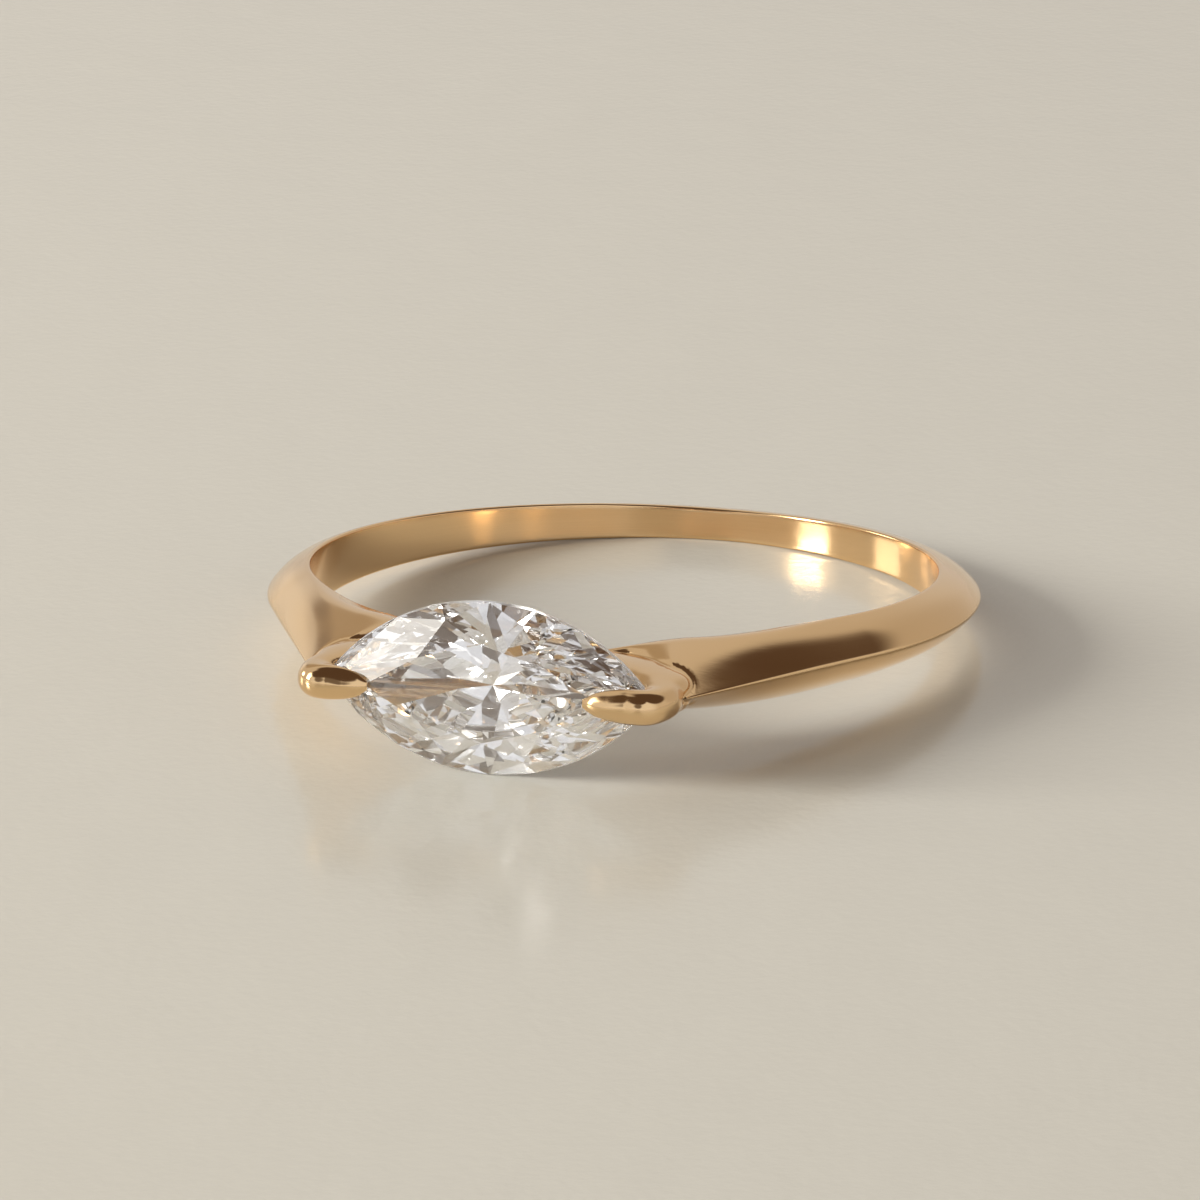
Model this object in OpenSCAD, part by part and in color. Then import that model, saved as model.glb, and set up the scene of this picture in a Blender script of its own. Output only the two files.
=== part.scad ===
// A gold ring with a knife edge, and a marquise stone set across the finger, held by two claws at its tips.
// It lies on its side, as it rests by itself: on the lower edge of the stone and on the back of the shank.
// The origin is the middle of the finger hole. Sizes are in millimetres.

/* [Finger hole] */
// Diameter of the hole that the finger goes through
finger_diameter = 16.9; // [15.5:0.1:19]

/* [Shank] */
// Height of the sharp outer edge above the finger hole
shank_thickness = 1.2; // [1:0.05:1.5]
// Width of the shank at the back, under the finger
back_width = 0.9; // [0.7:0.05:1.4]
// Width that the shank grows to at its shoulders
shoulder_width = 1.95; // [1.6:0.05:2.3]
// Width that the shank narrows to as it runs into the bridge under the stone
shank_end_width = 0.94; // [0.8:0.02:1]
// Width of the bridge that passes under the stone
bridge_width = 1.24; // [1.1:0.02:1.4]
// Height of the narrow side beside the finger hole
side_height = 0.12; // [0.08:0.01:0.2]
// How much the two slopes swell between the side and the sharp edge
slope_swell = 0.1; // [0.02:0.02:0.12]
// How much polishing has rounded the sharp edge away
edge_wear = 0.04; // [0.02:0.01:0.08]

/* [Shoulders] */
// Height above the finger hole at which the rising edge meets the claw
shoulder_rise = 2.4; // [2.2:0.05:2.6]
// How far the rising edge stays outside the tip of the stone
shoulder_reach = 0.62; // [0.5:0.02:0.8]
// How much higher the sides get at the shoulders
shoulder_side = 0.6; // [0.4:0.05:0.8]
// Angle from the stone at which the shoulder starts to narrow
narrow_from = 30; // [28:1:36]
// Angle from the stone at which the shoulder is as narrow as the bridge
narrow_to = 4; // [2:1:8]

/* [Stone] */
// Length of the stone from tip to tip
stone_length = 8.85; // [8.4:0.05:9.2]
// Width of the stone across its middle
stone_width = 4.55; // [4.2:0.05:4.9]
// Height of the stone's girdle above the finger hole
stone_lift = 2.72; // [2.6:0.02:2.9]
// Thickness of the girdle
girdle_thickness = 0.14; // [0.12:0.01:0.2]
// Height of the crown from the girdle to the table
crown_height = 0.66; // [0.55:0.01:0.75]
// Depth of the pavilion from the girdle to the culet
pavilion_depth = 1.86; // [1.75:0.01:1.92]
// Length of the table
table_length = 6.3; // [5.8:0.1:6.6]
// Width of the table
table_width = 2.6; // [2.4:0.05:2.8]

/* [Claws] */
// Width of a claw at the tip of the stone
claw_width = 0.9; // [0.8:0.02:1]
// Thickness of a claw's arm where it is thickest, under the stone
arm_thickness = 2.2; // [2:0.05:2.4]
// Height of a claw's back above the girdle
claw_rise = 1; // [0.92:0.02:1.1]
// How far the left claw reaches over the stone from its tip
left_reach = 1.4; // [1.2:0.05:1.7]
// How far the right claw reaches over the stone from its tip
right_reach = 1.65; // [1.3:0.05:1.8]
// Gap between the stone and the metal all round it
stone_gap = 0.03; // [0.02:0.005:0.05]

/* [Hidden] */

finger_r = finger_diameter / 2;
side_r = finger_r + side_height;
edge_r = finger_r + shank_thickness;
girdle_h = finger_r + stone_lift;
half_length = stone_length / 2;
half_width = stone_width / 2;

// The stone lies on the lower edge of its girdle, and the shank on the lower edge of its back.
rest_tilt = atan((stone_width - back_width) / 2 / (girdle_h - girdle_thickness / 2 + side_r));

function mix(a, b, k) = a + (b - a) * k;
function smooth(k) = let(c = min(1, max(0, k))) c * c * (3 - 2 * c);

// The stone: its outline is two arcs that meet at the tips. Its facets are flat, and are worked out
// for one quarter from the planes of the main facets, then mirrored.

function arc_r(a, b) = (a * a + b * b) / (2 * b);
// A point of the outline, with 0 at the tip and 1 at the middle of the side
function outline(a, b, f) =
    let(r = arc_r(a, b), turn = asin(a / r) * (1 - f))
    [r * sin(turn), r * cos(turn) - (r - b)];
// Which way the outline faces there; at the very tip it faces straight along the stone
function facing(a, b, f) =
    let(turn = f == 0 ? 90 : asin(a / arc_r(a, b)) * (1 - f))
    [sin(turn), cos(turn)];

// A main facet runs from a line that touches the outline to one inner point at the height given.
// It is kept as [across x, across z, reach at the girdle, rise for each millimetre inward].
function main_facet(a, b, f, inner, height) =
    let(n = facing(a, b, f), reach = n * outline(a, b, f))
    [n.x, n.y, reach, height / (reach - n * inner)];
// The place where two main facets cross at the height given
function facets_cross(m, n, height) =
    let(p = m[2] - height / m[3], q = n[2] - height / n[3], d = m.x * n.y - m.y * n.x)
    [(p * n.y - q * m.y) / d, (m.x * q - n.x * p) / d];
// Height at place p of the plane through the points a and b of the outline, at height 0, and c above them
function plane_height(p, a, b, c, c_height) =
    let(n = [b.y - a.y, a.x - b.x])
    c_height * (n * (p - a)) / (n * (c - a));

// Main facets touch the outline at its tip, halfway and at its middle; the other stops lie between.
MAIN_STOPS = [0, 0.5, 1];
BETWEEN_STOPS = [0.25, 0.75];
GIRDLE_STEPS = 4;
// Middle corner of the table, as shares of its half length and half width
TABLE_CORNER = [0.54, 0.64];
// How far down the crown its star facets reach, and how far up the pavilion its long facets leave off
STAR_SHARE = 0.5;
CULET_SHARE = 0.2;

module stone_body(a, b, girdle, crown, pavilion, table_a, table_b) {
    table = [[table_a, 0], [TABLE_CORNER.x * table_a, TABLE_CORNER.y * table_b], [0, table_b]];
    star_h = crown * (1 - STAR_SHARE);
    crown_mains = [for (i = [0:2]) main_facet(a, b, MAIN_STOPS[i], table[i], crown)];
    pavilion_mains = [for (i = [0:2]) main_facet(a, b, MAIN_STOPS[i], [0, 0], pavilion)];
    star_points = [for (i = [0:1]) facets_cross(crown_mains[i], crown_mains[i + 1], star_h)];
    keel_h = pavilion * (1 - CULET_SHARE);
    keel_points = [for (i = [0:1]) facets_cross(pavilion_mains[i], pavilion_mains[i + 1], keel_h)];
    steps = 4 * GIRDLE_STEPS;
    // A quarter of the girdle with its upper and lower heights, which the facets above and below scallop
    stops = [MAIN_STOPS[0], BETWEEN_STOPS[0], MAIN_STOPS[1], BETWEEN_STOPS[1], MAIN_STOPS[2]];
    function quarter_edge(inner, inner_h, k) =
        let(j = min(3, floor(k / GIRDLE_STEPS)), p = outline(a, b, k / steps))
        plane_height(p, outline(a, b, stops[j]), outline(a, b, stops[j + 1]), inner[floor(j / 2)], inner_h);
    // Mirrors a quarter's point into quarter q, so that the quarters follow each other round the stone
    function placed(p, q, h) = [(q == 0 || q == 3 ? 1 : -1) * p.x, -h, (q < 2 ? 1 : -1) * p.y];
    // A place on the ring of four quarters, counted from the tip: its quarter, and its place within it
    function quarter_of(k, n) = floor((k % (4 * n)) / n);
    function within(k, n) = let(q = quarter_of(k, n), w = k % n) q % 2 == 0 ? w : n - w;
    function ring_of(values, n, h) =
        [for (k = [0:4 * n - 1]) placed(values[within(k, n)], quarter_of(k, n), h)];
    function edge_of(inner, inner_h, start, way) =
        [for (k = [0:4 * steps - 1])
            let(w = within(k, steps))
            placed(outline(a, b, w / steps), quarter_of(k, steps),
                   start + way * quarter_edge(inner, inner_h, w))];
    // The points between two main facets come twice in each half, once on each side of the mirror
    function pairs_of(points, h) =
        [for (k = [0:7]) placed(points[k % 4 < 2 ? k % 4 : 3 - k % 4], floor(k / 2), h)];
    points = concat(
        edge_of(star_points, star_h, girdle / 2, 1),
        edge_of(keel_points, keel_h, -girdle / 2, -1),
        ring_of(table, 2, girdle / 2 + crown),
        pairs_of(star_points, girdle / 2 + star_h),
        pairs_of(keel_points, -girdle / 2 - keel_h),
        [[0, girdle / 2 + pavilion, 0]]);
    around = 4 * steps;
    upper = 0;
    lower = around;
    table_at = 2 * around;
    star_at = table_at + 8;
    keel_at = star_at + 8;
    culet = keel_at + 8;
    half = GIRDLE_STEPS;
    main = 2 * half;
    faces = concat(
        [[for (i = [7:-1:0]) table_at + i]],
        [for (i = [0:7]) [table_at + i, table_at + (i + 1) % 8, star_at + i]],
        [for (i = [0:7]) [upper + i * main, star_at + (i + 7) % 8, table_at + i, star_at + i]],
        [for (i = [0:7], side = [0:1])
            concat([star_at + i],
                   [for (k = [half:-1:0]) upper + (i * main + side * half + k) % around])],
        [for (k = [0:around - 1])
            let(n = (k + 1) % around)
            [upper + k, upper + n, lower + n, lower + k]],
        [for (i = [0:7], side = [0:1])
            concat([keel_at + i],
                   [for (k = [0:half]) lower + (i * main + side * half + k) % around])],
        [for (i = [0:7]) [lower + i * main, keel_at + i, culet, keel_at + (i + 7) % 8]]);
    translate([0, -girdle_h, 0]) polyhedron(points, faces);
}

// The metal. Outlines are places [x, height above the middle of the finger hole] in the plane of the ring.

// The rising edge of a shoulder ends here, at the foot of the claw, and touches the round shank lower down.
shoulder_end = [half_length + shoulder_reach, finger_r + shoulder_rise];
shoulder_end_turn = atan2(shoulder_end.x, shoulder_end.y);
shoulder_turn = shoulder_end_turn + acos(edge_r / norm(shoulder_end));
// Height of the metal under the culet, and the angle from the stone within which the edge has sunk to it
seat_h = girdle_h - girdle_thickness / 2 - pavilion_depth - 3 * stone_gap;
edge_ends = shoulder_end_turn - 7;

// How early the shank widens on its way from the back to the shoulders; below 1 is earlier
WIDENING = 0.75;

// Distance of the metal's outer edge from the middle of the finger hole, by the angle from the stone
function edge_distance(turn) =
    turn >= shoulder_turn ? edge_r
    : let(rising = edge_r / cos(shoulder_turn - max(turn, shoulder_end_turn)))
      mix(seat_h, rising, smooth((turn - edge_ends) / (shoulder_end_turn - edge_ends)));
function half_shank(turn) =
    let(wide = mix(back_width, shoulder_width, pow((1 + cos(turn)) / 2, WIDENING)) / 2)
    mix(shank_end_width / 2, wide, smooth((turn - narrow_to) / (narrow_from - narrow_to)));
// How much higher the sides are there than at the back
function side_growth(turn) = shoulder_side * smooth((shoulder_turn - turn) / (shoulder_turn - narrow_from));

// One section of the shank as [distance, z], from the finger hole up one slope and down the other.
// It starts inside the hole, which is bored afterwards. Where the sides are high they lean toward the hole.
BORE_STOCK = 0.4;
SIDE_LEAN = 0.45;
SLOPE_STOPS = [0.5, 0.94];
function shank_section(turn) =
    let(
        w = half_shank(turn),
        top = edge_distance(turn),
        grown = side_growth(turn),
        side_top = side_r + grown,
        slope = [for (k = SLOPE_STOPS) [mix(side_top, top, k) + slope_swell * sin(180 * k) * w / top,
                                        w * (1 - k) + slope_swell * sin(180 * k)]],
        upper = concat([[finger_r - BORE_STOCK, w - SIDE_LEAN * grown], [side_top, w]], slope),
        last = len(upper) - 1)
    concat(upper, [[top - edge_wear, 0]], [for (i = [last:-1:0]) [upper[i].x, -upper[i].y]]);

// Faces of a skin over sections of n points each. A closed skin joins its last section to its first.
function skin_faces(sections, n, closed) = concat(
    [for (i = [0:sections - (closed ? 1 : 2)], k = [0:n - 1], half = [0:1])
        let(a = i * n, b = ((i + 1) % sections) * n, m = (k + 1) % n)
        half == 0 ? [a + k, b + m, a + m] : [a + k, b + k, b + m]],
    closed ? [] : [[for (k = [0:n - 1]) k], [for (k = [n - 1:-1:0]) (sections - 1) * n + k]]);

SHANK_STEP = 3;
module shank() {
    turns = [0:SHANK_STEP:360 - SHANK_STEP];
    sections = [for (turn = turns) shank_section(min(turn, 360 - turn))];
    points = [for (i = [0:len(sections) - 1], p = sections[i])
        [p.x * sin(i * SHANK_STEP), -p.x * cos(i * SHANK_STEP), p.y]];
    polyhedron(points, skin_faces(len(sections), len(sections[0]), true));
}

// Each claw's arm grows out of the bridge, passes under the stone and stands up outside its tip.
// Columns: [place along the stone's half length, height as a share of the stone's lift,
//           thickness as a share of the arm's, width and section from the bridge's at 0 to the claw's at 1]
ARM = [
    [0,    0.16, 0.42, 0],
    [0.32, 0.22, 0.82, 0],
    [0.59, 0.31, 1,    0],
    [0.82, 0.45, 1.14, 0.1],
    [0.95, 0.66, 0.92, 0.4],
    [1.01, 0.87, 0.58, 0.75],
    [1.04, 1.06, 0.46, 1]];
// Then the claw folds over the crown and narrows to its tip.
// Columns: [place inward from the stone's tip as a share of the reach, height as a share of the claw's rise,
//           thickness as a share of that rise, width as a share of the claw's]
CLAW = [
    [0.00, 0.66, 0.94, 1],
    [0.30, 0.77, 0.7,  1],
    [0.58, 0.8,  0.58, 0.88],
    [0.82, 0.83, 0.36, 0.64],
    [1.00, 0.82, 0.1,  0.24]];

function arm_stop(row) =
    [row[0] * half_length, finger_r + row[1] * stone_lift, row[2] * arm_thickness / 2,
     mix(bridge_width, claw_width, row[3]) / 2, mix(ARM_POWER, KNEE_POWER, row[3])];
function claw_stop(row, reach) =
    [half_length - row[0] * reach, girdle_h + row[1] * claw_rise, row[2] * claw_rise / 2,
     row[3] * claw_width / 2, mix(KNEE_POWER, RIDGE_POWER, min(1, row[0] / RIDGE_AT))];
function claw_stops(reach) =
    concat([for (row = ARM) arm_stop(row)], [for (row = CLAW) claw_stop(row, reach)]);
function mirrored(stop) = [-stop[0], stop[1], stop[2], stop[3], stop[4]];

// A smooth curve through the rows of a table, at place s counted in rows
function through(rows, s) =
    let(
        last = len(rows) - 1,
        i = min(last - 1, floor(s)),
        t = s - i,
        a = rows[max(0, i - 1)], b = rows[i], c = rows[i + 1], d = rows[min(last, i + 2)])
    b + t / 2 * ((c - a) + t * ((2 * a - 5 * b + 4 * c - d) + t * (3 * (b - c) + d - a)));

// Round the section of the bar: full and rounded under the stone and at the knee where it bends, and on the
// claw a soft ridge on its back with a fuller belly toward the stone. A power of 2 would be an ellipse.
CLAW_STEPS = 3;
SECTION_POINTS = 16;
ARM_POWER = 2.6;
KNEE_POWER = 2.2;
RIDGE_POWER = 1.6;
BELLY_POWER = 2.4;
// Where the ridge has formed, as a share of the claw's reach from the stone's tip
RIDGE_AT = 0.58;
function bulge(turn, power) = let(k = abs(turn)) (turn < 0 ? -1 : 1) * pow(k, 2 / power);
function claw_section(turn, back_power) =
    let(power = cos(turn) > 0 ? back_power : BELLY_POWER)
    [bulge(cos(turn), power), bulge(sin(turn), power)];

module claws() {
    left = [for (stop = claw_stops(left_reach)) mirrored(stop)];
    right = claw_stops(right_reach);
    rows = concat([for (i = [len(left) - 1:-1:1]) left[i]], right);
    count = (len(rows) - 1) * CLAW_STEPS;
    path = [for (i = [0:count]) through(rows, i / CLAW_STEPS)];
    points = [for (i = [0:count], k = [0:SECTION_POINTS - 1])
        let(
            ahead = path[min(count, i + 1)] - path[max(0, i - 1)],
            way = [ahead[0], ahead[1]] / norm([ahead[0], ahead[1]]),
            s = claw_section(360 * k / SECTION_POINTS, path[i][4]),
            out = s.x * path[i][2])
        [path[i][0] + way.y * out, -(path[i][1] - way.x * out), s.y * path[i][3]]];
    polyhedron(points, skin_faces(count + 1, SECTION_POINTS, false));
}

module stone(gap) {
    // The gap is measured square to each surface: the tips and the culet move farther than the sides.
    tip_angle = asin(half_length / arc_r(half_length, half_width));
    culet_angle = atan(pavilion_depth / half_width);
    stone_body(half_length + gap / sin(tip_angle), half_width + gap, girdle_thickness + gap,
               crown_height + gap / 2, pavilion_depth + gap / cos(culet_angle) - gap / 2,
               table_length / 2, table_width / 2);
}

module gold_mounting() {
    color("goldenrod") rotate([-rest_tilt, 0, 0]) difference() {
        union() {
            shank();
            claws();
        }
        stone(stone_gap);
        cylinder(h = 4 * shoulder_width, r = finger_r, center = true, $fn = 180);
    }
}

module marquise_stone() {
    color("aliceblue") rotate([-rest_tilt, 0, 0]) stone(0);
}

gold_mounting();
marquise_stone();
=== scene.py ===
"""East west ring: a yellow gold knife-edge ring with a marquise stone set across the finger."""
import math
import bmesh
import bpy
import numpy as np
from mathutils import Matrix, Vector
from mathutils.bvhtree import BVHTree


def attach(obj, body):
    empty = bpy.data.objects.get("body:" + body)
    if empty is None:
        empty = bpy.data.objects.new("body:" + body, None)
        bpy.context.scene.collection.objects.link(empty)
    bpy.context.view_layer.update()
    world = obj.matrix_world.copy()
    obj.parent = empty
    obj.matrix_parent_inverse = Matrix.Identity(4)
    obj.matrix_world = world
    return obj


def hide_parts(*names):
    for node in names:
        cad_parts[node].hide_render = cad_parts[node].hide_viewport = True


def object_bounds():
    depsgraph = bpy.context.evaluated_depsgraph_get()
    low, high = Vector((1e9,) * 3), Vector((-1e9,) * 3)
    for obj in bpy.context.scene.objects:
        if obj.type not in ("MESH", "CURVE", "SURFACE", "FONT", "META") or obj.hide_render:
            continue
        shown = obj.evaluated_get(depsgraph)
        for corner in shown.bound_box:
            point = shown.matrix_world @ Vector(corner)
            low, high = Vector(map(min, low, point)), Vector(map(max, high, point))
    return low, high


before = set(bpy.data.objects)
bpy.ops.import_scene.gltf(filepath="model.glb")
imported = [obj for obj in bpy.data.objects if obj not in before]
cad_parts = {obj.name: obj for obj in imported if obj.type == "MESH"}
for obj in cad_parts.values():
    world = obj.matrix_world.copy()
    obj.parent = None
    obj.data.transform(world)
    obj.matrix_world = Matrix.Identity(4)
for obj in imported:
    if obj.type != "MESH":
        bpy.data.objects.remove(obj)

cad_low, cad_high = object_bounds()


# The gold mounting's shank: a knife-edge band, cast in yellow gold with the rest of the mounting and
# polished by hand. Its edge is round at the back, and from the shoulders it rises in a straight line to
# the foot of each claw.

# Places are worked out in millimetres, as [x, height above the middle of the finger hole, z] of the ring,
# and angles in degrees from the stone
MM = 0.001
finger_r = 8.45
side_height, shank_thickness, slope_swell = 0.12, 1.187, 0.11
side_r = finger_r + side_height
edge_r = finger_r + shank_thickness
back_width, shoulder_width, shank_end_width = 0.9, 1.95, 0.94
shoulder_rise, shoulder_reach, shoulder_side = 2.4, 0.62, 0.6
stone_length, stone_width = 8.85, 4.55
half_length, half_width = stone_length / 2, stone_width / 2
stone_lift, girdle_thickness, pavilion_depth, stone_gap = 2.72, 0.14, 1.86, 0.03
girdle_h = finger_r + stone_lift
# The shank narrows into the bridge between these two angles, and its sharp edge sinks to the bridge
# within so many degrees past the end of the shoulder
narrow_from, narrow_to, EDGE_SINKS = 30, 4, 7
# With a smaller power the shank widens earlier. Where the sides have grown they lean toward the hole by
# this share of their growth, down to so far inside its wall
WIDENING, SIDE_LEAN, BORE_STOCK = 0.75, 0.45, 0.4

shoulder_end = (half_length + shoulder_reach, finger_r + shoulder_rise)
shoulder_end_turn = math.degrees(math.atan2(*shoulder_end))
shoulder_turn = shoulder_end_turn + math.degrees(math.acos(edge_r / math.hypot(*shoulder_end)))
seat_h = girdle_h - girdle_thickness / 2 - pavilion_depth - 3 * stone_gap
edge_ends = shoulder_end_turn - EDGE_SINKS

# The ring lies on the lower edge of the stone and on the lower edge of its back
rest_tilt = math.atan((half_width - back_width / 2) / (girdle_h - girdle_thickness / 2 + side_r))
LAID_DOWN = Matrix.Rotation(-rest_tilt, 4, "X")

# What polishing has worn away: at the hole, at the side, there more by this share of its growth, and at
# the sharp edge
INNER_WEAR, SIDE_WEAR, GROWN_WEAR, EDGE_WEAR = 0.07, 0.045, 0.35, 0.095
# Points across the hole, as shares of its half width, and steps in each stretch of the section
HOLE_STOPS = (0, 0.35, 0.7)
INNER_STEPS, SIDE_STEPS, SLOPE_STEPS, EDGE_STEPS = 5, 6, 13, 10
# How far back on the slope its direction at the sharp edge is taken, as a share of the slope
A_LITTLE = 0.01
# The sections stand close together up to FRONT_TURN, and wider apart at the back
FRONT_TURN, FRONT_STEP, BACK_STEP = 70, 0.4, 1.0


def mix(a, b, k):
    return a + (b - a) * k


def smooth(k):
    k = min(1.0, max(0.0, k))
    return k * k * (3 - 2 * k)


def edge_distance(turn):
    """Distance of the sharp edge from the middle of the finger hole."""
    if turn >= shoulder_turn:
        return edge_r
    rising = edge_r / math.cos(math.radians(shoulder_turn - max(turn, shoulder_end_turn)))
    return mix(seat_h, rising, smooth((turn - edge_ends) / (shoulder_end_turn - edge_ends)))


def half_shank(turn):
    """Half the width of the shank."""
    wide = mix(back_width, shoulder_width, ((1 + math.cos(math.radians(turn))) / 2) ** WIDENING) / 2
    return mix(shank_end_width / 2, wide, smooth((turn - narrow_to) / (narrow_from - narrow_to)))


def rounded(before, corner, after, steps):
    """Points of a corner that polishing has rounded, from before it to after it."""
    before, corner, after = (np.array(p, float) for p in (before, corner, after))
    return [(1 - t) ** 2 * before + 2 * t * (1 - t) * corner + t ** 2 * after
            for t in (i / steps for i in range(steps + 1))]


def shank_profile(turn):
    """The band's section, as [distance from the hole's middle, z], once round from the hole."""
    w, top = half_shank(turn), edge_distance(turn)
    grown = shoulder_side * smooth((shoulder_turn - turn) / (shoulder_turn - narrow_from))
    side_top = side_r + grown
    long = math.hypot(top - side_top, w)

    def side(r):
        return np.array([r, w - SIDE_LEAN * grown * (side_top - r) / (side_top - finger_r + BORE_STOCK)])

    def slope(k):
        swell = slope_swell * math.sin(math.pi * k)
        return np.array([mix(side_top, top, k) + swell * w / long,
                         mix(w, 0, k) + swell * (top - side_top) / long])

    side_wear = SIDE_WEAR + GROWN_WEAR * grown
    first, last = side_wear / long, 1 - EDGE_WEAR / long
    start, finish = slope(first), slope(last)
    ahead = slope(last) - slope(last - A_LITTLE)
    tip = [finish[0] - ahead[0] / ahead[1] * finish[1], 0]
    inner = side(finger_r)
    half = [inner * [1, k] for k in HOLE_STOPS]
    half += rounded(inner - [0, INNER_WEAR], inner, side(finger_r + INNER_WEAR), INNER_STEPS)
    half += rounded(side(side_top - side_wear), side(side_top), start, SIDE_STEPS)
    half += [slope(mix(first, last, k / SLOPE_STEPS)) for k in range(1, SLOPE_STEPS)]
    half += rounded(finish, tip, [finish[0], -finish[1]], EDGE_STEPS)[:EDGE_STEPS // 2 + 1]
    return half + [p * [1, -1] for p in half[-2:0:-1]]


def put_in_scene(name, data):
    piece = bpy.data.objects.new(name, data)
    bpy.context.scene.collection.objects.link(piece)
    return piece


def skin_mesh(name, rows, closed):
    """A closed skin over rows of points. A skin that isn't closed is capped at both ends."""
    count, across = len(rows), len(rows[0])
    points = [tuple(p) for row in rows for p in row]
    faces = []
    for i in range(count if closed else count - 1):
        a, b = i * across, (i + 1) % count * across
        for k in range(across):
            m = (k + 1) % across
            faces.append((a + k, b + k, b + m, a + m))
    if not closed:
        faces.append(tuple(range(across))[::-1])
        faces.append(tuple(range((count - 1) * across, count * across)))
    mesh = bpy.data.meshes.new(name)
    mesh.from_pydata(points, [], faces)
    whole = bmesh.new()
    whole.from_mesh(mesh)
    bmesh.ops.recalc_face_normals(whole, faces=whole.faces)
    whole.to_mesh(mesh)
    whole.free()
    return put_in_scene(name, mesh)


def section_turns():
    """The angles of all sections, once round the ring from the stone."""
    front = [FRONT_STEP * i for i in range(1, round(FRONT_TURN / FRONT_STEP))]
    back = [FRONT_TURN + BACK_STEP * i for i in range(round((180 - FRONT_TURN) / BACK_STEP))]
    half = front + back
    return [0.0] + half + [180.0] + [-t for t in reversed(half)]


shank_rows = []
for turn in section_turns():
    s, c = math.sin(math.radians(turn)), math.cos(math.radians(turn))
    shank_rows.append([(r * s, r * c, z) for r, z in shank_profile(abs(turn))])
shank = skin_mesh("shank", shank_rows, True)


# The gold mounting's bridge and claws: one bar runs under the stone, stands up outside its two tips and
# folds over them as pointed claws with a soft ridge on their backs. It is cast in gold with the shank.

claw_width, arm_thickness, bridge_width, claw_rise = 0.9, 2.2, 1.24, 0.99
left_reach, right_reach = 1.4, 1.65

# Columns: place along the stone's half length, height as a share of the stone's lift, thickness as a share
# of the arm's, width and section from the bridge's at 0 to the claw's at 1
ARM = [
    (0, 0.16, 0.42, 0),
    (0.32, 0.22, 0.82, 0),
    (0.59, 0.31, 1, 0),
    (0.82, 0.45, 1.14, 0.1),
    (0.95, 0.66, 0.92, 0.4),
    (1.01, 0.87, 0.58, 0.75),
    (1.04, 1.06, 0.46, 1),
]
# Columns: place inward from the tip as a share of the reach, height as a share of the claw's rise,
# thickness as a share of that rise, width as a share of the claw's
CLAW = [
    (0.00, 0.66, 0.94, 1),
    (0.30, 0.77, 0.7, 1),
    (0.58, 0.80, 0.58, 0.88),
    (0.82, 0.83, 0.36, 0.64),
    (1.00, 0.82, 0.1, 0.24),
]
STEPS_A_ROW, POINTS_ROUND = 13, 64
# The bar's section is full under the stone, rounder at the knee, and a ridge on the claw's back with a
# fuller belly. A power of 2 would be an ellipse. The ridge has formed at this share of the claw's reach.
ARM_POWER, KNEE_POWER, RIDGE_POWER, BELLY_POWER = 2.6, 2.2, 1.6, 2.4
RIDGE_AT = 0.58
# The belly of the bar is bored away with the finger hole, and stays this much inside the shank's own bore
BORE_LIP = 0.002


def claw_stops(reach):
    """Rows of [x, height, half thickness, half width, power of the back] from the middle to a claw's tip."""
    arm = [(x * half_length, finger_r + h * stone_lift, t * arm_thickness / 2,
            mix(bridge_width, claw_width, w) / 2, mix(ARM_POWER, KNEE_POWER, w)) for x, h, t, w in ARM]
    claw = [(half_length - x * reach, girdle_h + h * claw_rise, t * claw_rise / 2, w * claw_width / 2,
             mix(KNEE_POWER, RIDGE_POWER, min(1, x / RIDGE_AT))) for x, h, t, w in CLAW]
    return arm + claw


def through(rows, s):
    """A smooth curve through the rows, at place s counted in rows."""
    last = len(rows) - 1
    i = min(last - 1, int(s))
    t = s - i
    a, b, c, d = rows[max(0, i - 1)], rows[i], rows[i + 1], rows[min(last, i + 2)]
    return b + t / 2 * ((c - a) + t * ((2 * a - 5 * b + 4 * c - d) + t * (3 * (b - c) + d - a)))


def bulge(value, power):
    return math.copysign(abs(value) ** (2 / power), value)


left = [np.array(stop) * [-1, 1, 1, 1, 1] for stop in claw_stops(left_reach)]
right = [np.array(stop) for stop in claw_stops(right_reach)]
stops = left[:0:-1] + right
count = (len(stops) - 1) * STEPS_A_ROW
path = [through(stops, i / STEPS_A_ROW) for i in range(count + 1)]
bar_rows = []
for i, (x, h, thick, wide, back_power) in enumerate(path):
    ahead = path[min(count, i + 1)] - path[max(0, i - 1)]
    way = ahead[:2] / np.hypot(*ahead[:2])
    row = []
    for k in range(POINTS_ROUND):
        turn = math.tau * k / POINTS_ROUND
        power = back_power if math.cos(turn) > 0 else BELLY_POWER
        out = bulge(math.cos(turn), power) * thick
        spot = np.array([x + way[1] * out, h - way[0] * out])
        spot *= max(1, (finger_r - BORE_LIP) / np.hypot(*spot))
        row.append((*spot, bulge(math.sin(turn), power) * wide))
    bar_rows.append(row)
claw_bar = skin_mesh("claw_bar", bar_rows, False)


# The gold mounting as one piece: shank and bar are one casting, with the stone's seat burred out. The file
# has cut a fine groove round the root of each arm, where it stands on the shank, and polishing has rounded
# the corners and left fine marks.

# Radius of the rounded corners between shank and bar, and of those at the seat
FILLET, SEAT_EDGE = 0.03, 0.05
GROOVE_DEPTH, GROOVE_WIDTH = 0.045, 0.055
# The groove starts this far from the ring's middle plane, and deepens over the length that follows
GROOVE_FROM, GROOVE_FADE = 3.8, 0.5
# Groove and fillet fade out toward the finger hole over this height above it. A last bit of fillet stays
BORE_FADE, LEAST_FILLET = 0.15, 1e-3
# A corner is near within this many widths of the groove, which shrinks toward the hole to this share
CORNER_REACH, LEAST_CLEAR = 1.6, 0.05
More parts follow.
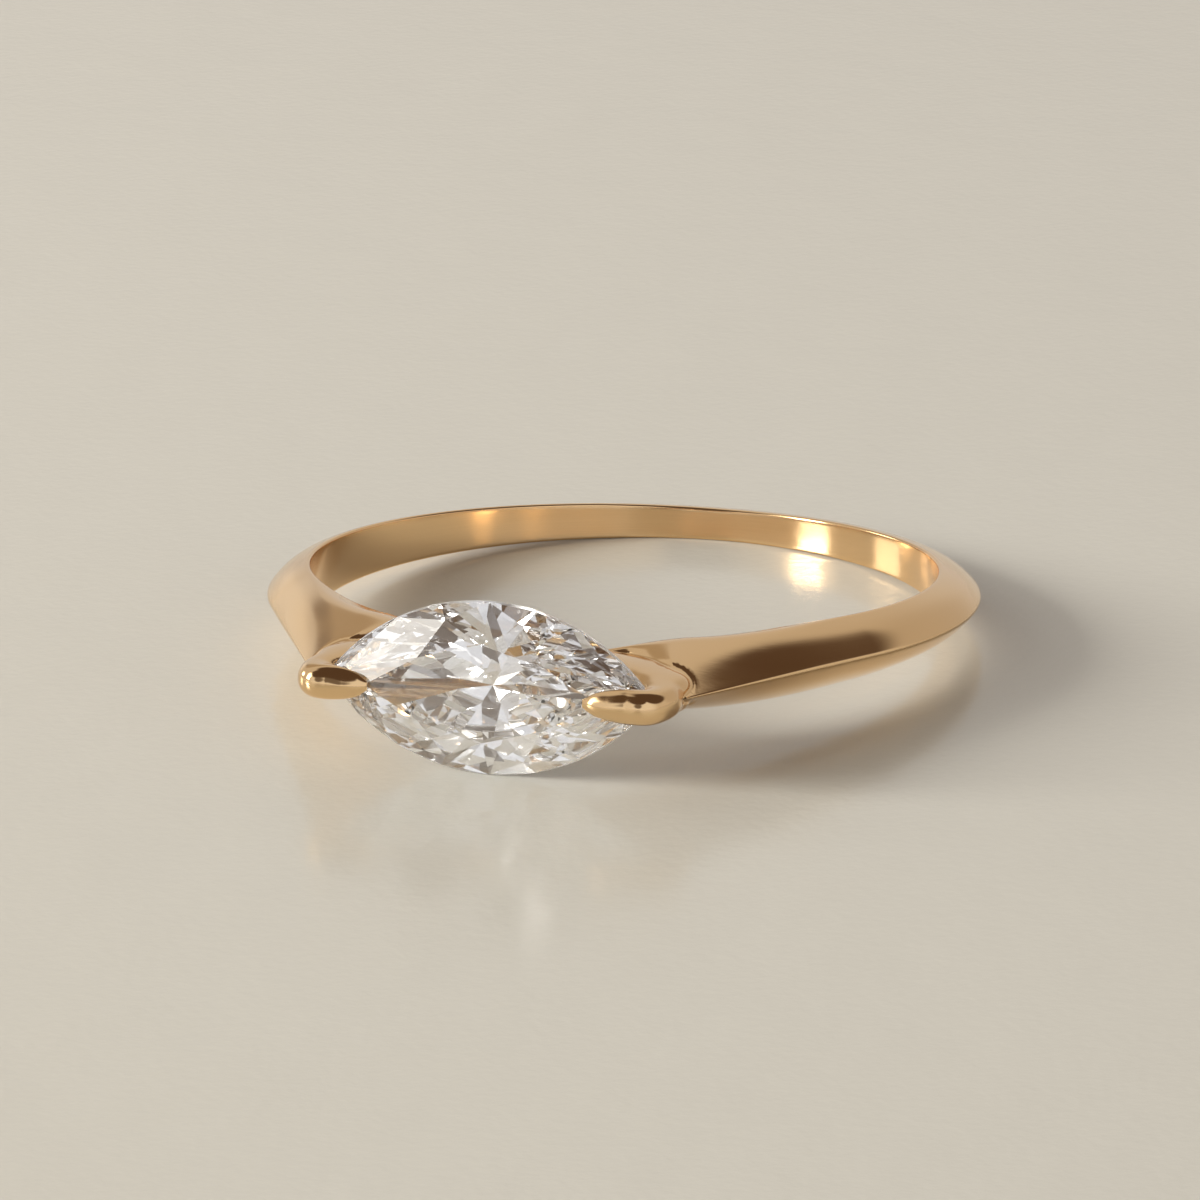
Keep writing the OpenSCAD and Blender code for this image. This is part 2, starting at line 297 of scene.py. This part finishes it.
# The head, which is polished here, lies above this height and within this distance of the middle plane
HEAD_FROM, HEAD_REACH = 8.3, 6.2
# Edges shorter than this are closed up after the joining
SLIVER = 0.005
# Columns: the longest edge that is left whole, and how near a corner it lies
CORNER_STEPS = ((0.1, 1.3), (0.05, 1.3), (0.03, 1.0), (0.022, 0.6))
# A point is moved onto the surface in so many steps, or fewer when it is close enough
MOST_STEPS, CLOSE_ENOUGH, LEAST_SLOPE = 5, 1e-4, 0.2


def laid(points):
    """Places of the ring's own frame, in metres as it lies on the surface."""
    points = np.asarray(points, float) * [1, -1, 1]
    return (points @ np.array(LAID_DOWN.to_3x3()).T) * MM


def upright(points):
    """The other way: from metres in the frame to [x, height, z] of the ring in millimetres."""
    return (np.asarray(points, float) / MM @ np.array(LAID_DOWN.to_3x3())) * [1, -1, 1]


stone_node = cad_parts["marquise_stone"]
facets = stone_node.data.polygons
facet_ways = np.array([upright(p.normal * MM) for p in facets])
facet_ways /= np.linalg.norm(facet_ways, axis=1)[:, None]
facet_middles = np.array([upright(p.center) for p in facets])
facet_reach = (facet_ways * facet_middles).sum(1)


class Skin:
    """A finished surface that distances and directions are measured from."""

    NO_AREA, TOUCHING = 1e-16, 1e-5

    def __init__(self, piece):
        mesh = piece.data
        mesh.calc_loop_triangles()
        self.points = np.array([v.co for v in mesh.vertices])
        self.ways = np.array([n.vector for n in mesh.vertex_normals])
        self.corners = np.array([t.vertices for t in mesh.loop_triangles])
        self.tree = BVHTree.FromPolygons(self.points.tolist(), self.corners.tolist())

    def measure(self, p):
        """Distance of a point outside the skin, below 0 inside it, and the way straight out there."""
        spot, _, index, _ = self.tree.find_nearest(p)
        spot = np.array(spot)
        a, b, c = self.points[self.corners[index]]
        ab, ac, to = b - a, c - a, spot - a
        d00, d01, d11, d20, d21 = ab @ ab, ab @ ac, ac @ ac, to @ ab, to @ ac
        base = d00 * d11 - d01 * d01
        if base < self.NO_AREA:
            v = w = 1 / 3
        else:
            v, w = (d11 * d20 - d01 * d21) / base, (d00 * d21 - d01 * d20) / base
        way = np.array([1 - v - w, v, w]) @ self.ways[self.corners[index]]
        way /= np.linalg.norm(way)
        gap = p - spot
        far = np.linalg.norm(gap)
        if far < self.TOUCHING:
            return 0.0, way
        if gap @ way < 0:
            return -far, -gap / far
        return far, gap / far


def lower(a, b, round_by):
    """The lower of two distances, where the corner between them is rounded, and its two shares."""
    h = max(round_by - abs(a - b), 0) / round_by
    value = min(a, b) - h * h * round_by / 4
    return (value, 1 - h / 2, h / 2) if a < b else (value, h / 2, 1 - h / 2)


shank_skin, bar_skin = Skin(shank), Skin(claw_bar)


def metal(p):
    """Distance from the polished surface, the way out of it, and how near a corner it is."""
    (a, way_a), (b, way_b) = shank_skin.measure(p), bar_skin.measure(p)
    clear = smooth((math.hypot(p[0], p[1]) - finger_r) / BORE_FADE)
    union, share_a, share_b = lower(a, b, FILLET * clear + LEAST_FILLET)
    way = share_a * way_a + share_b * way_b
    groove = GROOVE_DEPTH * clear * smooth((abs(p[0]) - GROOVE_FROM) / GROOVE_FADE)
    groove *= math.exp(-(a * a + b * b) / GROOVE_WIDTH ** 2)
    union += groove
    way = way - 2 * groove / GROOVE_WIDTH ** 2 * (a * way_a + b * way_b)
    reach = facet_ways @ p - facet_reach - stone_gap
    facet = int(reach.argmax())
    value, share_cut, share_rest = lower(reach[facet], -union, SEAT_EDGE)
    way = share_rest * way - share_cut * facet_ways[facet]
    corner = math.hypot(a, b) / GROOVE_WIDTH / CORNER_REACH / max(clear, LEAST_CLEAR)
    near = min(corner, abs(-reach[facet] - union) / SEAT_EDGE)
    return -value, way, near


def boolean(piece, other, operation):
    """Joins the other piece to this one, or cuts it out of this one, and removes it."""
    step = piece.modifiers.new(operation, "BOOLEAN")
    step.operation = operation
    step.solver = "EXACT"
    step.object = other
    mesh = bpy.data.meshes.new_from_object(piece.evaluated_get(bpy.context.evaluated_depsgraph_get()))
    piece.modifiers.clear()
    piece.data = mesh
    bpy.data.objects.remove(other)


def hull_of(points, same):
    """The convex hull round the points, where points as close as same count as one."""
    hull = bmesh.new()
    for p in points:
        hull.verts.new(p)
    bmesh.ops.remove_doubles(hull, verts=hull.verts, dist=same)
    bmesh.ops.convex_hull(hull, input=hull.verts)
    return hull


def seat_cutter():
    """The stone's form, larger by the gap, as the space that is burred out."""
    middle = facet_middles.mean(0)
    # Each facet's plane is turned into a point, and the faces of these points' hull give the corners
    planes = hull_of(facet_ways / (facet_reach + stone_gap - facet_ways @ middle)[:, None], 1e-5)
    corners = []
    for f in planes.faces:
        reach = f.normal.dot(f.verts[0].co)
        if reach > 1e-9:
            corners.append(np.array(f.normal) / reach + middle)
    planes.free()
    cutter = hull_of(corners, 1e-4)
    bmesh.ops.delete(cutter, geom=[v for v in cutter.verts if not v.link_faces], context="VERTS")
    mesh = bpy.data.meshes.new("seat")
    cutter.to_mesh(mesh)
    cutter.free()
    return put_in_scene("seat", mesh)


mounting = shank
boolean(mounting, claw_bar, "UNION")
boolean(mounting, seat_cutter(), "DIFFERENCE")
mounting.name = "mounting"

cast = bmesh.new()
cast.from_mesh(mounting.data)
nearness = {}


def split_faces():
    """Splits each face of more than four corners into triangles."""
    bmesh.ops.triangulate(cast, faces=[f for f in cast.faces if len(f.verts) > 4])


def in_head(v):
    return v.co.y > HEAD_FROM and abs(v.co.x) < HEAD_REACH


def near_corner(limit):
    """Vertices of the head that lie near a corner, so that it can be rounded there."""
    found = set()
    for v in cast.verts:
        if in_head(v):
            place = tuple(v.co)
            if place not in nearness:
                nearness[place] = metal(np.array(v.co))[2]
            if nearness[place] < limit:
                found.add(v)
    return found


def onto_surface(p):
    """Moves a point onto the polished surface, and gives the way out of it there."""
    for _ in range(MOST_STEPS):
        value, way = metal(p)[:2]
        if abs(value) < CLOSE_ENOUGH:
            break
        p = p - value * way / max(way @ way, LEAST_SLOPE)
    return p, way / np.linalg.norm(way)


split_faces()
bmesh.ops.remove_doubles(cast, verts=cast.verts, dist=SLIVER)
bmesh.ops.dissolve_degenerate(cast, dist=SLIVER, edges=cast.edges)
split_faces()
for longest, limit in CORNER_STEPS:
    close = near_corner(limit)
    edges = [e for e in cast.edges
             if e.verts[0] in close and e.verts[1] in close and e.calc_length() > longest]
    bmesh.ops.subdivide_edges(cast, edges=edges, cuts=1, use_grid_fill=False)
    split_faces()

# Each vertex of the head is moved onto the polished surface, and its shading follows that surface too
cast.verts.index_update()
ways = {}
for v in cast.verts:
    if in_head(v):
        v.co, ways[v.index] = onto_surface(np.array(v.co))
cast.normal_update()
for f in cast.faces:
    f.smooth = True
cast.to_mesh(mounting.data)
cast.free()
mesh = mounting.data
own = np.array([n.vector for n in mesh.vertex_normals])
for index, way in ways.items():
    own[index] = way
own = own * [1, -1, 1] @ np.array(LAID_DOWN.to_3x3()).T
mesh.vertices.foreach_set("co", laid([v.co for v in mesh.vertices]).ravel())
mesh.flip_normals()
mesh.update()
mesh.normals_split_custom_set_from_vertices(own.tolist())

# How many fine marks span one cloud, how much deeper a cloud is than a mark, how fine both are broken up
CLOUD_SPAN, CLOUD_DEPTH, DETAIL = 14, 4, 3
# Between these values of a cloud the surface goes from its smoothest to its roughest
SMOOTH_BELOW, ROUGH_ABOVE = 0.35, 0.65


def working(tree, kind, operation, value=None):
    """Adds a node that works out a number or a vector, with a value for its second input."""
    node = tree.nodes.new(kind)
    node.operation = operation
    if value is not None:
        node.inputs[1].default_value = value
    return node


def fine_unevenness():
    """A node group for what handling and finishing leave on a smooth surface: fine marks over broad clouds.
    Place and Across are distances in metres, and Scale is how many marks fit into a metre."""
    group = bpy.data.node_groups.new("fine_unevenness", "ShaderNodeTree")
    for name, in_out, kind in (("Place", "INPUT", "Vector"), ("Across", "INPUT", "Float"),
                               ("Scale", "INPUT", "Float"), ("Height", "OUTPUT", "Float"),
                               ("Clouds", "OUTPUT", "Float")):
        group.interface.new_socket(name, in_out=in_out, socket_type="NodeSocket" + kind)
    given, put_out = group.nodes.new("NodeGroupInput"), group.nodes.new("NodeGroupOutput")
    marks, clouds = group.nodes.new("ShaderNodeTexNoise"), group.nodes.new("ShaderNodeTexNoise")
    broader = working(group, "ShaderNodeMath", "DIVIDE", CLOUD_SPAN)
    group.links.new(given.outputs["Scale"], broader.inputs[0])
    group.links.new(given.outputs["Scale"], marks.inputs["Scale"])
    group.links.new(broader.outputs["Value"], clouds.inputs["Scale"])
    for noise in (marks, clouds):
        noise.noise_dimensions = "4D"
        noise.inputs["Detail"].default_value = DETAIL
        group.links.new(given.outputs["Place"], noise.inputs["Vector"])
        group.links.new(given.outputs["Across"], noise.inputs["W"])
    both = working(group, "ShaderNodeMath", "MULTIPLY_ADD", CLOUD_DEPTH)
    group.links.new(clouds.outputs["Fac"], both.inputs[0])
    group.links.new(marks.outputs["Fac"], both.inputs[2])
    group.links.new(both.outputs["Value"], put_out.inputs["Height"])
    group.links.new(clouds.outputs["Fac"], put_out.inputs["Clouds"])
    return group


UNEVENNESS = fine_unevenness()


def new_material(name):
    """A material with its node tree and its shader."""
    material = bpy.data.materials.new(name)
    material.use_nodes = True
    return material, material.node_tree, material.node_tree.nodes["Principled BSDF"]


def finish_surface(tree, scale, smoothest, roughest, depth):
    """Adds the marks to a material: its roughness between two values, and a bump of the depth in metres."""
    shader = tree.nodes["Principled BSDF"]
    marks = tree.nodes.new("ShaderNodeGroup")
    marks.node_tree = UNEVENNESS
    marks.inputs["Scale"].default_value = scale
    dull = tree.nodes.new("ShaderNodeMapRange")
    for name, value in (("From Min", SMOOTH_BELOW), ("From Max", ROUGH_ABOVE),
                        ("To Min", smoothest), ("To Max", roughest)):
        dull.inputs[name].default_value = value
    tree.links.new(marks.outputs["Clouds"], dull.inputs["Value"])
    tree.links.new(dull.outputs["Result"], shader.inputs["Roughness"])
    bump = tree.nodes.new("ShaderNodeBump")
    bump.inputs["Strength"].default_value = 1
    bump.inputs["Distance"].default_value = depth
    tree.links.new(marks.outputs["Height"], bump.inputs["Height"])
    tree.links.new(bump.outputs["Normal"], shader.inputs["Normal"])
    return marks


gold, tree, shader = new_material("yellow_gold")
shader.inputs["Base Color"].default_value = (0.85, 0.59, 0.32, 1)
shader.inputs["Metallic"].default_value = 1
marks = finish_surface(tree, scale=22000, smoothest=0.09, roughest=0.15, depth=0.6e-6)
# The polishing wheel ran round the ring, so that its marks are long that way and fine across it. A radian
# round the ring counts as this many metres
MARK_SHARE = 0.00025
place = tree.nodes.new("ShaderNodeTexCoord")
upright_place = tree.nodes.new("ShaderNodeVectorRotate")
upright_place.rotation_type = "X_AXIS"
upright_place.inputs["Angle"].default_value = rest_tilt
flat = working(tree, "ShaderNodeVectorMath", "MULTIPLY", (1, 1, 0))
radius = working(tree, "ShaderNodeVectorMath", "LENGTH")
way_round = working(tree, "ShaderNodeVectorMath", "NORMALIZE")
level = working(tree, "ShaderNodeVectorMath", "MULTIPLY", (0, 0, 1))
drawn_out = working(tree, "ShaderNodeVectorMath", "MULTIPLY_ADD", (MARK_SHARE, MARK_SHARE, MARK_SHARE))
tree.links.new(place.outputs["Object"], upright_place.inputs["Vector"])
tree.links.new(upright_place.outputs["Vector"], flat.inputs[0])
tree.links.new(upright_place.outputs["Vector"], level.inputs[0])
tree.links.new(flat.outputs["Vector"], radius.inputs[0])
tree.links.new(flat.outputs["Vector"], way_round.inputs[0])
tree.links.new(way_round.outputs["Vector"], drawn_out.inputs[0])
tree.links.new(level.outputs["Vector"], drawn_out.inputs[2])
tree.links.new(drawn_out.outputs["Vector"], marks.inputs["Place"])
tree.links.new(radius.outputs["Value"], marks.inputs["Across"])
mounting.data.materials.clear()
mounting.data.materials.append(gold)
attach(mounting, "root")
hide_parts("gold_mounting")


# The marquise stone: a cut and polished diamond, with the facets of the CAD. It is pressed into its seat
# under the two claws. The thin girdle between its crown and its pavilion is left frosted from the cutting.

GIRDLE_FROST = 0.3

diamond, tree, shader = new_material("diamond")
shader.inputs["Base Color"].default_value = (1, 1, 1, 1)
shader.inputs["IOR"].default_value = 2.417
shader.inputs["Transmission Weight"].default_value = 1
place = tree.nodes.new("ShaderNodeTexCoord")
height = working(tree, "ShaderNodeVectorMath", "DOT_PRODUCT", LAID_DOWN.to_3x3() @ Vector((0, -1, 0)))
on_girdle = working(tree, "ShaderNodeMath", "COMPARE", girdle_h * MM)
on_girdle.inputs[2].default_value = girdle_thickness / 2 * MM
frosted = working(tree, "ShaderNodeMath", "MULTIPLY", GIRDLE_FROST)
tree.links.new(place.outputs["Object"], height.inputs[0])
tree.links.new(height.outputs["Value"], on_girdle.inputs[0])
tree.links.new(on_girdle.outputs["Value"], frosted.inputs[0])
tree.links.new(frosted.outputs["Value"], shader.inputs["Roughness"])
stone_node.data.materials.clear()
stone_node.data.materials.append(diamond)


# The surface: the pale, slightly glossy sheet that the ring lies on, painted as coated paper. It is flat,
# and its fine grain breaks up what it reflects.

SURFACE_REACH = 0.6

floor_mesh = bpy.data.meshes.new("surface")
corners = [(x * SURFACE_REACH, y * SURFACE_REACH, 0) for x, y in ((-1, -1), (1, -1), (1, 1), (-1, 1))]
floor_mesh.from_pydata(corners, [], [(0, 1, 2, 3)])
floor = put_in_scene("surface", floor_mesh)
floor.location.z = cad_low[2]
paper, tree, shader = new_material("pale_surface")
shader.inputs["Base Color"].default_value = (0.72, 0.705, 0.63, 1)
shader.inputs["IOR"].default_value = 1.5
marks = finish_surface(tree, scale=3200, smoothest=0.14, roughest=0.2, depth=9e-6)
place = tree.nodes.new("ShaderNodeTexCoord")
tree.links.new(place.outputs["Object"], marks.inputs["Place"])
floor.data.materials.append(paper)


# The room, as gold, stone and surface reflect it: soft round patches of colour, each laid over the last and
# all over pale brown walls. Three soft lamps at the left stand in for the daylight that comes in there.

# The picture is taken from this angle round the ring, and ways in the room are given as seen from there:
# across to the right, away from the camera, and up
VIEW_AZIMUTH = math.radians(18.4)
ACROSS = Vector((math.cos(VIEW_AZIMUTH), math.sin(VIEW_AZIMUTH), 0))
AWAY = Vector((-math.sin(VIEW_AZIMUTH), math.cos(VIEW_AZIMUTH), 0))
UP = Vector((0, 0, 1))
WALLS = (0.64, 0.60, 0.56)
CEILING = (0.10, 0.065, 0.045)
# Columns: colour, the way to its middle, degrees from there to where it starts to fade and where it ends
ROOM_PATCHES = [
    # The wall at the back right
    ((0.54, 0.49, 0.44), (0.75, 0.6, 0.3), 10, 35),
    # At the back left: a brown stretch of wall, a bright one low down, and a small dark spot between them
    ((0.44, 0.37, 0.29), (-0.30, 0.80, 0.52), 10, 18),
    ((0.84, 0.79, 0.72), (-0.41, 0.91, 0.0), 8, 14),
    ((0.30, 0.25, 0.21), (-0.32, 0.90, 0.29), 1, 5),
    # The bright side of the room, behind the camera
    ((0.85, 0.85, 0.87), (-0.1, -0.95, 0.2), 30, 70),
    # The bright upper part of the window
    ((3.4, 3.3, 3.1), (-0.81, -0.19, 0.55), 8, 15),
    # The dark ceiling: overhead, to the right, and to the front left
    (CEILING, (0.24, 0.0, 0.97), 31, 40),
    (CEILING, (0.49, -0.09, 0.87), 32, 41),
    (CEILING, (-0.33, -0.46, 0.82), 25, 32),
    # The photographer
    ((0.18, 0.15, 0.13), (-0.45, -0.83, 0.33), 9, 17),
]
# Columns: name, the way to it, width, height, power, colour, whether it is seen in reflections. The photo's
# shadow and its highlight on the band point to ways a little apart, so that each has a lamp of its own.
LAMP_DISTANCE = 0.5
LAMPS = [
    ("window", (-0.951, 0.0, 0.309), 0.12, 0.16, 2.5, (1.0, 0.97, 0.92), False),
    ("curtain", (-0.923, -0.235, 0.305), 0.11, 0.16, 0.9, (1.0, 0.97, 0.92), True),
    ("doorway", (-0.87, 0.43, 0.23), 0.14, 0.12, 0.25, (1.0, 0.93, 0.82), True),
]
# A Mix node has its two colours at these inputs, and the mixed one at this output
COLOR_A, COLOR_B, MIXED = 6, 7, 2

world = bpy.data.worlds.new("room")
bpy.context.scene.world = world
world.use_nodes = True
tree = world.node_tree
background = tree.nodes["Background"]
place = tree.nodes.new("ShaderNodeTexCoord")


def way_to(across, away, up):
    return (across * ACROSS + away * AWAY + up * UP).normalized()


def room_patch(under, color, middle, inner, outer):
    """Lays a soft round patch of a colour over the room, between two angles from its middle."""
    toward = working(tree, "ShaderNodeVectorMath", "DOT_PRODUCT", way_to(*middle))
    tree.links.new(place.outputs["Generated"], toward.inputs[0])
    spread = tree.nodes.new("ShaderNodeMapRange")
    spread.interpolation_type = "SMOOTHSTEP"
    spread.inputs["From Min"].default_value = math.cos(math.radians(outer))
    spread.inputs["From Max"].default_value = math.cos(math.radians(inner))
    tree.links.new(toward.outputs["Value"], spread.inputs["Value"])
    over = tree.nodes.new("ShaderNodeMix")
    over.data_type = "RGBA"
    tree.links.new(spread.outputs["Result"], over.inputs["Factor"])
    if isinstance(under, tuple):
        over.inputs[COLOR_A].default_value = (*under, 1)
    else:
        tree.links.new(under, over.inputs[COLOR_A])
    over.inputs[COLOR_B].default_value = (*color, 1)
    return over.outputs[MIXED]


room = WALLS
for patch in ROOM_PATCHES:
    room = room_patch(room, *patch)
tree.links.new(room, background.inputs["Color"])
background.inputs["Strength"].default_value = 1.0

for name, way, width, height, power, color, in_reflections in LAMPS:
    light = bpy.data.lights.new(name, "AREA")
    light.shape = "RECTANGLE"
    light.size, light.size_y = width, height
    light.energy = power
    light.color = color
    lamp = put_in_scene(name, light)
    lamp.location = way_to(*way) * LAMP_DISTANCE
    lamp.rotation_euler = way_to(*way).to_track_quat("Z", "Y").to_euler()
    lamp.visible_glossy = in_reflections

scene = bpy.context.scene
scene.view_settings.view_transform = "Standard"
scene.cycles.max_bounces = 32
scene.cycles.glossy_bounces = 24
scene.cycles.transmission_bounces = 24
scene.cycles.sample_clamp_indirect = 0


# The camera: fitted to the outlines of the stone and the shank in the photo, with its distance held. It
# looks at the middle of the hole, and its picture is shifted to where the photo has that.

# In pixels of the photo: its side, the focal length, and the shift
PHOTO_SIDE, FOCAL_LENGTH, SHIFT_ACROSS, SHIFT_UP = 1200, 7419.6, -24.18, -8.58
# In degrees: round the ring, above it, and rolled about the line of sight
CAMERA_TURN, CAMERA_RISE, CAMERA_ROLL = 17.92, 13.47, 0.22
# In metres, apart from the sensor in millimetres
CAMERA_DISTANCE, NEAREST, FARTHEST = 0.2, 0.01, 10
SENSOR_WIDTH = 36

camera = bpy.data.cameras.new("camera")
camera_object = put_in_scene("camera", camera)
scene.camera = camera_object
camera.sensor_width = SENSOR_WIDTH
camera.lens = SENSOR_WIDTH * FOCAL_LENGTH / PHOTO_SIDE
camera.shift_x, camera.shift_y = SHIFT_ACROSS / PHOTO_SIDE, SHIFT_UP / PHOTO_SIDE
camera.clip_start, camera.clip_end = NEAREST, FARTHEST
turn, rise, roll = (math.radians(v) for v in (CAMERA_TURN, CAMERA_RISE, CAMERA_ROLL))
back = Vector((math.sin(turn) * math.cos(rise), -math.cos(turn) * math.cos(rise), math.sin(rise)))
right = Vector((math.cos(turn), math.sin(turn), 0))
up = back.cross(right)
right, up = math.cos(roll) * right + math.sin(roll) * up, math.cos(roll) * up - math.sin(roll) * right
look = Matrix((right, up, back)).transposed().to_4x4()
look.translation = back * CAMERA_DISTANCE
camera_object.matrix_world = LAID_DOWN @ look
